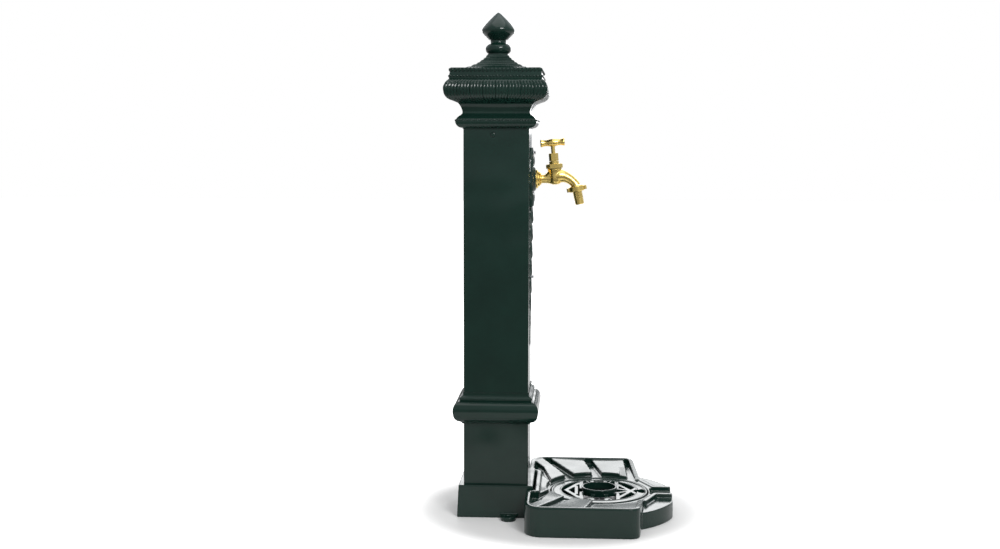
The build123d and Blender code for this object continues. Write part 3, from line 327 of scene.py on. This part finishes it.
def finish_mesh(mesh, sharp):
    """Shades the mesh smooth except across edges sharper than the given degrees."""
    mesh.polygons.foreach_set("use_smooth", [True] * len(mesh.polygons))
    mesh.set_sharp_from_angle(angle=math.radians(sharp))


def arc(start, through, end, count):
    """Points of the arc from start to end through a middle point, without start."""
    (ax, ay), (bx, by), (cx, cy) = start, through, end
    d = 2 * (ax * (by - cy) + bx * (cy - ay) + cx * (ay - by))
    a2, b2, c2 = ax * ax + ay * ay, bx * bx + by * by, cx * cx + cy * cy
    ox = (a2 * (by - cy) + b2 * (cy - ay) + c2 * (ay - by)) / d
    oy = (a2 * (cx - bx) + b2 * (ax - cx) + c2 * (bx - ax)) / d
    first = math.atan2(ay - oy, ax - ox)
    radius = math.hypot(ax - ox, ay - oy)
    middle = (math.atan2(by - oy, bx - ox) - first) % math.tau
    last = (math.atan2(cy - oy, cx - ox) - first) % math.tau
    if middle > last:
        last -= math.tau
    points = []
    for i in range(1, count + 1):
        angle = first + last * i / count
        points.append((ox + radius * math.cos(angle), oy + radius * math.sin(angle)))
    return points


def straight(start, end, count):
    """Points of the line from start to end, without start."""
    run, rise = end[0] - start[0], end[1] - start[1]
    return [(start[0] + run * i / count, start[1] + rise * i / count) for i in range(1, count + 1)]


def smooth_step(low, high, value):
    """0 below low, 1 above high, smooth between."""
    share = min(max((value - low) / (high - low), 0.0), 1.0)
    return share * share * (3 - 2 * share)


def cap_profile():
    """The cap's outline as (half width, height above its joint), from below upwards."""
    neck = SHAFT_HALF + 0.0015
    cushion, slab = CUSHION_HALF, SLAB_HALF
    line = [(neck - 0.0003, 0.0), (neck - 0.0001, 0.0014)]
    line += arc(line[-1], (ASTRAGAL_HALF - 0.0016, 0.0084), (ASTRAGAL_HALF, 0.0144), 8)
    line += arc(line[-1], (ASTRAGAL_HALF - 0.0026, 0.020), (neck + 0.0031, 0.0266), 8)
    line += [(neck, 0.030), (neck, 0.034)]
    line += arc(line[-1], (SHAFT_HALF + 0.0044, 0.0425), (SHAFT_HALF + 0.0092, 0.050), 6)
    line += straight(line[-1], (cushion - 0.015, 0.055), 8)
    line += arc(line[-1], (cushion - 0.0046, 0.0613), (cushion - 0.0003, 0.072), 14)
    line += arc(line[-1], (cushion - 0.0004, 0.0834), (cushion - 0.0064, 0.093), 14)
    line += straight(line[-1], (slab - 0.0006, 0.0964), 3)
    line += [(slab, 0.0984)]
    line += straight(line[-1], (slab - 0.0034, 0.118), 6)
    line += straight(line[-1], (slab - 0.024, 0.1188), 6)
    line += arc(line[-1], (0.0388, 0.1300), (0.020, 0.147), 26)
    line += straight(line[-1], (0.020, 0.148), 2)
    return line


def cap_groove(along, height):
    """Depth of the cut ornament at a place along a side, -1 to 1, and a height above the joint."""
    on_cushion = smooth_step(*CUSHION_FOOT, height) * (1 - smooth_step(*CUSHION_HEAD, height))
    on_roof = smooth_step(*ROOF_FOOT, height) * (1 - smooth_step(*ROOF_HEAD, height))
    if on_cushion > 0:
        shell = (along + 1) / 2 * SHELLS
        within = shell - math.floor(shell)
        rib = abs(math.sin(math.pi * within * RIBS))
        edge = min(within, 1 - within) * 2
        gap = 1 - smooth_step(0.0, 0.12, edge)
        crest = LIP_HEIGHT - LIP_SAG * (1 - math.sin(math.pi * within)) ** 2
        lip = smooth_step(crest - 0.003, crest, height)
        lip *= 1 - smooth_step(crest, crest + 0.0025, height)
        return on_cushion * (RIB_DEPTH * (1 - rib) ** 1.5 + GAP_DEPTH * gap + LIP_DEPTH * lip)
    if on_roof > 0:
        row = (height - ROOF_FOOT[0]) / SCALE_ROW
        shift = 0.5 * (math.floor(row) % 2)
        scale = (along * SCALES + shift) % 1.0
        bulge = math.sin(math.pi * scale) ** 0.7 * math.sin(math.pi * (row % 1.0)) ** 0.5
        return on_roof * SCALE_DEPTH * (1 - bulge)
    return 0.0


def square_skin(profile, groove, per_side):
    """Closed skin of level squares that follow the profile, cut in by the groove's depth."""
    points = []
    for index, (half, height) in enumerate(profile):
        before = profile[max(index - 1, 0)]
        after = profile[min(index + 1, len(profile) - 1)]
        run, rise = after[0] - before[0], after[1] - before[1]
        length = math.hypot(run, rise)
        outward, upward = rise / length, -run / length
        for side in range(4):
            turn = side * math.pi / 2
            for step in range(per_side):
                along = -1 + 2 * step / per_side
                depth = groove(along, height)
                reach = half - depth * outward
                x, y = along * reach, -reach
                points.append((
                    x * math.cos(turn) - y * math.sin(turn),
                    x * math.sin(turn) + y * math.cos(turn),
                    CAP_JOINT + height - depth * upward,
                ))
    ring = 4 * per_side
    faces = []
    for level in range(len(profile) - 1):
        low, high = level * ring, (level + 1) * ring
        for step in range(ring):
            after = (step + 1) % ring
            faces.append((low + step, low + after, high + after, high + step))
    faces.append(tuple(reversed(range(ring))))
    faces.append(tuple(range((len(profile) - 1) * ring, len(profile) * ring)))
    return points, faces


def ball(points, faces, place, radii, turn):
    """Adds a turned ball of few faces, or an egg shape where its radii differ, to the lists."""
    rows, columns = BEAD_LEVELS, BEAD_SIDES
    first = len(points)
    for row in range(1, rows):
        polar = math.pi * row / rows
        for column in range(columns):
            round_angle = math.tau * column / columns
            offset = Vector((
                radii[0] * math.sin(polar) * math.cos(round_angle),
                radii[1] * math.sin(polar) * math.sin(round_angle),
                radii[2] * math.cos(polar),
            ))
            points.append(tuple(place + turn @ offset))
    top = len(points)
    points.append(tuple(place + turn @ Vector((0, 0, radii[2]))))
    points.append(tuple(place - turn @ Vector((0, 0, radii[2]))))
    for column in range(columns):
        after = (column + 1) % columns
        faces.append((top, first + column, first + after))
        last = first + (rows - 2) * columns
        faces.append((top + 1, last + after, last + column))
        for row in range(rows - 2):
            here = first + row * columns
            below = here + columns
            faces.append((here + column, below + column, below + after, here + after))


def bead_row(material, name, half, height, radius, pitch, lean=0.0, stretch=1.0):
    """A level row of beads round the column, along a square of the given half side."""
    count = max(int(round(2 * half / pitch)), 2)
    points, faces = [], []
    for side in range(4):
        spin = Quaternion((0, 0, 1), side * math.pi / 2)
        for step in range(count):
            along = -half + 2 * half * (step + 0.5) / count
            place = spin @ Vector((along, -half, height))
            turn = spin @ Quaternion((0, 1, 0), lean)
            ball(points, faces, place, (radius, radius, radius * stretch), turn)
    add_piece(name, points, faces, material)


def relief_half_width(height):
    """Half width of the relief at a height."""
    if height > RELIEF_SHOULDER:
        share = (height - RELIEF_SHOULDER) / (RELIEF_TOP - RELIEF_SHOULDER)
        rise = math.sin(math.pi * (share * 0.86 + 0.10)) ** 0.55
        scallop = 1 - 0.05 * abs(math.sin(share * math.pi * SCALLOPS))
        least = DROP_HALF * (1 - share)
        return (least + (RELIEF_HALF - least) * rise) * scallop
    share = (height - RELIEF_TIP) / (RELIEF_SHOULDER - RELIEF_TIP)
    husk = abs(math.sin(math.pi * share * HUSKS)) ** 0.6
    widest = TIP_HALF + (DROP_HALF - TIP_HALF) * share
    return widest * (0.52 + 0.48 * husk) * smooth_step(-0.02, 0.05, share + 0.01)


def relief_depth(across, height):
    """How far the relief stands off the shaft's face; across runs from -1 to 1 over its width."""
    x = across * relief_half_width(height)
    z = height - TAP_HEIGHT
    edge = 1 - across * across
    from_tap = math.hypot(x, z)
    if height > RELIEF_SHOULDER:
        depth = RELIEF_DEPTH * 0.92
        angle = math.atan2(z, x)
        off_boss = smooth_step(BOSS_RADIUS, BOSS_RADIUS + 0.006, from_tap)
        shell = 0.62 + 0.30 * abs(math.cos(angle * RAYS)) * off_boss
        border = 0.38 * math.exp(-((abs(across) - 0.84) / 0.10) ** 2)
        fade = 1 - 0.4 * smooth_step(RELIEF_TOP - 0.014, RELIEF_TOP, height)
        body = depth * fade * min((shell + border) * edge ** 0.22, 1.0)
    else:
        share = (height - RELIEF_TIP) / (RELIEF_SHOULDER - RELIEF_TIP)
        depth = TIP_DEPTH + (RELIEF_DEPTH - TIP_DEPTH) * share
        husk = (share * HUSKS) % 1.0
        vein = 0.34 * math.exp(-(across / 0.14) ** 2)
        lobes = 0.20 * math.cos(abs(across) * 9 + husk * 5)
        swell = 0.45 + 0.55 * math.sin(math.pi * husk) ** 0.7
        body = depth * min(max((0.55 + vein + lobes) * edge ** 0.35 * swell, 0.0), 1.0)
        body *= smooth_step(0.0, 0.02, share)
    if from_tap < BOSS_RADIUS:
        slope = max(from_tap - FLANGE_RADIUS, 0.0) / (BOSS_RADIUS - FLANGE_RADIUS)
        rise = math.sqrt(max(1 - slope ** 2, 0.0))
        body = max(body, BOSS_DEPTH * rise - 0.00005)
    return body


def front_relief(material):
    """Cast ornament: rayed shell round the tap with a raised border, and a drop of husks below."""
    rows, columns = RELIEF_ROWS, RELIEF_COLUMNS
    face = -SHAFT_HALF
    points = []
    for row in range(rows + 1):
        height = RELIEF_TIP + (RELIEF_TOP - RELIEF_TIP) * row / rows
        half = relief_half_width(height)
        for column in range(columns + 1):
            across = -1 + 2 * column / columns
            points.append((across * half, face - max(relief_depth(across, height), 0.0002), height))
    back = len(points)
    for row in range(rows + 1):
        height = RELIEF_TIP + (RELIEF_TOP - RELIEF_TIP) * row / rows
        half = relief_half_width(height)
        for column in range(columns + 1):
            points.append(((-1 + 2 * column / columns) * half, face, height))
    line = columns + 1
    faces = []
    for row in range(rows):
        for column in range(columns):
            here = row * line + column
            faces.append((here, here + 1, here + line + 1, here + line))
            faces.append((back + here + line, back + here + line + 1, back + here + 1, back + here))
        left, right = row * line, row * line + columns
        faces.append((left, left + line, back + left + line, back + left))
        faces.append((right, back + right, back + right + line, right + line))
    for column in range(columns):
        low, high = column, rows * line + column
        faces.append((low, back + low, back + low + 1, low + 1))
        faces.append((high, high + 1, back + high + 1, back + high))
    piece = add_piece("relief_ornament", points, faces, material, sharp=60.0)
    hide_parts("front_relief")


def soften(name, mesh, voxel, passes, keep=1.0, cutter=None):
    """An object with a casting's soft edges: its mesh rebuilt on a grid, smoothed, cut, thinned."""
    work = bpy.data.objects.new(name, mesh)
    bpy.context.scene.collection.objects.link(work)
    grid = work.modifiers.new("grid", "REMESH")
    grid.mode = "VOXEL"
    grid.voxel_size = voxel
    soft = work.modifiers.new("soft", "SMOOTH")
    soft.factor = 0.5
    soft.iterations = passes
    if cutter is not None:
        cut = work.modifiers.new("cut", "BOOLEAN")
        cut.operation = "DIFFERENCE"
        cut.solver = "EXACT"
        cut.object = cutter
    if keep < 1.0:
        thin = work.modifiers.new("thin", "DECIMATE")
        thin.ratio = keep
    shaped = work.evaluated_get(bpy.context.evaluated_depsgraph_get())
    done = bpy.data.meshes.new_from_object(shaped)
    work.modifiers.clear()
    work.data = done
    done.name = name
    finish_mesh(done, 60.0)
    return work


def cast_copy(node, name, material, voxel, passes, keep, body="fountain"):
    """The node's shape with soft edges, in its place."""
    work = soften(name, nodes[node].data.copy(), voxel, passes, keep)
    assign(work, material)
    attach(work, body)
    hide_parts(node)


def between(sections, steps):
    """More sections on a smooth line through the given (forward, height, radius) ones."""
    line = []
    for index in range(len(sections) - 1):
        before = sections[max(index - 1, 0)]
        here, after = sections[index], sections[index + 1]
        beyond = sections[min(index + 2, len(sections) - 1)]
        for step in range(steps):
            t = step / steps
            line.append(tuple(
                0.5 * (
                    2 * b + (c - a) * t
                    + (2 * a - 5 * b + 4 * c - d) * t * t
                    + (3 * b - a - 3 * c + d) * t ** 3
                )
                for a, b, c, d in zip(before, here, after, beyond)
            ))
    line.append(sections[-1])
    return line


def round_bar(points, faces, sections):
    """Adds a closed bar of round sections (forward, height, radius) in mm, square to its line."""
    sides = BAR_SIDES
    centres = [Vector((0.0, -forward / 1000, height / 1000)) for forward, height, _ in sections]
    first = len(points)
    across = Vector((1, 0, 0))
    for index, centre in enumerate(centres):
        along = centres[min(index + 1, len(centres) - 1)] - centres[max(index - 1, 0)]
        upright = along.normalized().cross(across)
        for step in range(sides):
            angle = math.tau * step / sides
            direction = across * math.cos(angle) + upright * math.sin(angle)
            points.append(tuple(centre + direction * (sections[index][2] / 1000)))
    for row in range(len(centres) - 1):
        for step in range(sides):
            here = first + row * sides
            after = (step + 1) % sides
            faces.append((here + step, here + after, here + sides + after, here + sides + step))
    faces.append(tuple(reversed(range(first, first + sides))))
    faces.append(tuple(range(len(points) - sides, len(points))))


def bar_mesh(name, bars):
    """One mesh of several closed round bars."""
    points, faces = [], []
    for sections in bars:
        round_bar(points, faces, sections)
    mesh = bpy.data.meshes.new(name)
    mesh.from_pydata(points, [], faces)
    mesh.update()
    return mesh


def on_bonnet(sections):
    """Sections given as (height above the tap's axis, radius) on the bonnet's leaning axis."""
    lean = math.radians(BONNET_LEAN)
    return [
        (BONNET_FORWARD - rise * math.sin(lean), TAP_HEIGHT * 1000 + rise * math.cos(lean), radius)
        for rise, radius in sections
    ]


def cast_tap(material):
    """Body of the tap in one flowing casting: barrel, chamber widening to its top, bent spout.

    Each bar is a list of sections, as forward, height and radius in millimetres.
    """
    level = TAP_HEIGHT * 1000
    inlet = [(43, level, 10.4), (86, level, 10.4)]
    collar = [(85.1, level, 11.8), (87.4, level, 11.8)]
    barrel = [
        (86, level, 9.6), (90, level, 8.7), (96, level, 8.6),
        (103, level, 9.4), (109, level, 10.6), (116, level, 11.4),
    ]
    shoulder = [
        (94, 680, 7.6), (100, 682.5, 8.6), (105.5, 687, 9.2), (109.5, 692, 9.6), (112, 696.5, 10.2),
    ]
    chamber = [
        (-11.4, 2), (-11, 5.6), (-9.6, 9.2), (-6.5, 11.8), (-2, 13),
        (4, 13.2), (10, 13), (15, 13.2), (19, 14.1), (21, 14.5),
    ]
    spout = [
        (117, 685, 13), (124, 685.8, 13.4), (131, 685.2, 12.4), (138, 683, 10.8),
        (144.5, 679.6, 9.8), (150.3, 675.2, 9.3), (154.8, 670.6, 9.3), (157.6, 666.4, 9.9),
    ]
    lean = math.radians(SPOUT_LEAN)
    thread = [
        (SPOUT_END[0] + math.sin(lean) * run, SPOUT_END[1] - math.cos(lean) * run, 12.8)
        for run in (5.6, 11.5)
    ]
    bars = [
        inlet,
        collar,
        between(barrel, 6),
        between(shoulder, 6),
        between(on_bonnet(chamber), 5),
        between(spout, 6),
        thread,
    ]
    bonnet_bore = on_bonnet([(8, 11.5), (23, 11.5)])
    seat_bore = on_bonnet([(-4, 6), (9, 6)])
    cutter = bpy.data.objects.new("tap_bores", bar_mesh("tap_bores", [bonnet_bore, seat_bore]))
    bpy.context.scene.collection.objects.link(cutter)
    rough = bar_mesh("tap_cast_rough", bars)
    tap = soften("tap_cast", rough, voxel=0.0005, passes=8, keep=0.6, cutter=cutter)
    bpy.data.objects.remove(cutter)
    assign(tap, material)
    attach(tap, "fountain")
    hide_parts("tap_body")


def make_pieces(materials):
    """The pieces with what the CAD nodes leave out: ornament, beads and castings' soft edges."""
    paint = materials["green_paint"]
    points, faces = square_skin(cap_profile(), cap_groove, CAP_STEPS)
    cap = add_piece("cap_ornament", points, faces, paint, sharp=50.0)
    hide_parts("cap_casting")
    for row in BEAD_ROWS:
        bead_row(paint, *row)
    front_relief(paint)
    cast_copy("tray_basin", "tray_cast", paint, voxel=0.0013, passes=13, keep=0.35)
    cast_copy("tray_grate", "grate_cast", paint, voxel=0.0009, passes=3, keep=0.6, body="grate")
    cast_copy("plinth_base", "plinth_cast", paint, voxel=0.0013, passes=3, keep=0.25)
    cast_tap(materials["brass"])


def make_camera():
    """Camera at the photograph's viewpoint."""
    yaw, pitch, roll = CAMERA_YAW, CAMERA_PITCH, CAMERA_ROLL
    forward = Vector((
        math.cos(yaw) * math.cos(pitch),
        -math.sin(yaw) * math.cos(pitch),
        -math.sin(pitch),
    ))
    level_right = Vector((-math.sin(yaw), -math.cos(yaw), 0.0))
    level_up = level_right.cross(forward)
    right = level_right * math.cos(roll) + level_up * math.sin(roll)
    up = level_up * math.cos(roll) - level_right * math.sin(roll)
    data = bpy.data.cameras.new("camera")
    data.sensor_fit = "HORIZONTAL"
    data.sensor_width = SENSOR_WIDTH
    data.lens = FOCAL_PIXELS / IMAGE_WIDTH * SENSOR_WIDTH
    data.clip_start = 0.05
    data.clip_end = 50.0
    camera = bpy.data.objects.new("camera", data)
    bpy.context.scene.collection.objects.link(camera)
    rotation = Matrix((right, up, -forward)).transposed().to_4x4()
    camera.matrix_world = Matrix.Translation(Vector(CAMERA_PLACE)) @ rotation
    bpy.context.scene.camera = camera


def math_node(tree, operation, first, second):
    """Result of an operation on two values, each a number or a socket."""
    node = tree.nodes.new("ShaderNodeMath")
    node.operation = operation
    for socket, value in zip(node.inputs, (first, second)):
        if isinstance(value, float):
            socket.default_value = value
        else:
            tree.links.new(value, socket)
    return node.outputs[0]


def eased(tree, value, low, high):
    """0 below low, 1 above high, smooth between."""
    node = tree.nodes.new("ShaderNodeMapRange")
    node.interpolation_type = "SMOOTHSTEP"
    node.inputs["From Min"].default_value = low
    node.inputs["From Max"].default_value = high
    tree.links.new(value, node.inputs["Value"])
    return node.outputs["Result"]


def blended(tree, share, low, high):
    """low where share is 0 and high where it is 1; each is a number or a socket."""
    node = tree.nodes.new("ShaderNodeMapRange")
    tree.links.new(share, node.inputs["Value"])
    for socket, value in ((node.inputs["To Min"], low), (node.inputs["To Max"], high)):
        if isinstance(value, float):
            socket.default_value = value
        else:
            tree.links.new(value, socket)
    return node.outputs["Result"]


def seen_directly(tree):
    """1 for what the camera sees straight, in a mirror or through glass, else 0."""
    path = tree.nodes.new("ShaderNodeLightPath")
    both = math_node(tree, "MAXIMUM", path.outputs["Is Camera Ray"], path.outputs["Is Glossy Ray"])
    return math_node(tree, "MAXIMUM", both, path.outputs["Is Transmission Ray"])


def make_world():
    """White studio: white to look at, and in reflections brightest high up behind the object."""
    world = bpy.data.worlds.new("studio")
    bpy.context.scene.world = world
    world.use_nodes = True
    tree = world.node_tree
    tree.nodes.clear()
    output = tree.nodes.new("ShaderNodeOutputWorld")
    background = tree.nodes.new("ShaderNodeBackground")
    path = tree.nodes.new("ShaderNodeLightPath")
    tint = ramp(tree, path.outputs["Is Glossy Ray"], [(0.0, grey(1.0)), (1.0, MIRRORED_TINT)])
    tree.links.new(tint, background.inputs["Color"])
    direction = tree.nodes.new("ShaderNodeSeparateXYZ")
    tree.links.new(tree.nodes.new("ShaderNodeTexCoord").outputs["Generated"], direction.inputs[0])
    behind = eased(tree, direction.outputs["X"], *MIRRORED_BEHIND)
    raised = eased(tree, direction.outputs["Z"], *MIRRORED_RAISED)
    mirrored = blended(tree, math_node(tree, "MULTIPLY", behind, raised), MIRRORED_LOW, 1.0)
    level = blended(tree, path.outputs["Is Glossy Ray"], WORLD_LIGHT, mirrored)
    camera_ray, through_ray = path.outputs["Is Camera Ray"], path.outputs["Is Transmission Ray"]
    plain = math_node(tree, "MAXIMUM", camera_ray, through_ray)
    tree.links.new(blended(tree, plain, level, 1.0), background.inputs["Strength"])
    tree.links.new(background.outputs[0], output.inputs["Surface"])


def make_floor():
    """Pale floor that keeps the object's soft shadow near it; farther out, a glow seen only by the
    camera paints it plain white over the shadow.
    """
    mesh = bpy.data.meshes.new("floor")
    reach = FLOOR_REACH
    corners = [(-reach, -reach, 0), (reach, -reach, 0), (reach, reach, 0), (-reach, reach, 0)]
    mesh.from_pydata(corners, [], [(0, 1, 2, 3)])
    floor = bpy.data.objects.new("floor", mesh)
    bpy.context.scene.collection.objects.link(floor)
    material, tree, shader = new_material("floor_white")
    shader.inputs["Base Color"].default_value = FLOOR_COLOUR
    shader.inputs["Roughness"].default_value = 0.8
    shader.inputs["Emission Color"].default_value = (1.0, 1.0, 1.0, 1.0)
    spread = tree.nodes.new("ShaderNodeMapping")
    spread.inputs["Location"].default_value = (0.0, -FOOT_CENTRE[1] / FOOT_HALF[1], 0.0)
    spread.inputs["Scale"].default_value = (1 / FOOT_HALF[0], 1 / FOOT_HALF[1], 1.0)
    tree.links.new(object_place(tree), spread.inputs["Vector"])
    length = tree.nodes.new("ShaderNodeVectorMath")
    length.operation = "LENGTH"
    tree.links.new(spread.outputs["Vector"], length.inputs[0])
    # share of painted white over the shadow, rising away from the object's footprint
    far = eased(tree, length.outputs["Value"], *FLOOR_WHITENS)
    camera_ray = tree.nodes.new("ShaderNodeLightPath").outputs["Is Camera Ray"]
    direct = math_node(tree, "MULTIPLY", far, camera_ray)
    glow = blended(tree, direct, FLOOR_GLOW, 1.0)
    seen_glow = blended(tree, seen_directly(tree), 0.0, glow)
    tree.links.new(seen_glow, shader.inputs["Emission Strength"])
    assign(floor, material)


def make_dark_card():
    """Grey card on the photograph's side that glows at a set level and is seen only in reflections,
    a painted dark reflection: along the floor, then upright.
    """
    mesh = bpy.data.meshes.new("dark_card")
    low, high = CARD_HEIGHTS
    bends = [(CARD_NEAR, low), (CARD_FAR, low), (CARD_FAR, high)]
    points = [(out, side, height) for out, height in bends for side in CARD_SIDES]
    mesh.from_pydata(points, [], [(0, 1, 3, 2), (2, 3, 5, 4)])
    card = bpy.data.objects.new("dark_card", mesh)
    bpy.context.scene.collection.objects.link(card)
    material, tree, shader = new_material("painted_reflection_card")
    shader.inputs["Base Color"].default_value = grey(0.0)
    shader.inputs["Specular IOR Level"].default_value = 0.0
    shader.inputs["Emission Color"].default_value = (1.0, 1.0, 1.0, 1.0)
    # the glow that paints the card's dark reflection
    shader.inputs["Emission Strength"].default_value = CARD_LEVEL
    assign(card, material)
    card.visible_camera = False
    card.visible_diffuse = False
    card.visible_shadow = False


def softbox(name, place, target, width, height, watts):
    """An area light that points at its target and isn't seen itself."""
    data = bpy.data.lights.new(name, "AREA")
    data.shape = "RECTANGLE"
    data.size = width
    data.size_y = height
    data.energy = watts
    light = bpy.data.objects.new(name, data)
    bpy.context.scene.collection.objects.link(light)
    light.location = place
    light.rotation_mode = "QUATERNION"
    light.rotation_quaternion = (Vector(target) - Vector(place)).to_track_quat("-Z", "Y")
    light.visible_camera = False


make_camera()
make_world()
make_floor()
make_dark_card()
for light_row in SOFTBOXES:
    softbox(*light_row)
finishes = {
    "green_paint": green_paint(),
    "brass": cast_brass(),
    "rubber": rubber(),
    "zinc_steel": zinc_steel(),
    "drain_plastic": drain_plastic(),
}
dress_nodes(finishes)
make_pieces(finishes)

bpy.context.scene.view_settings.view_transform = "Standard"
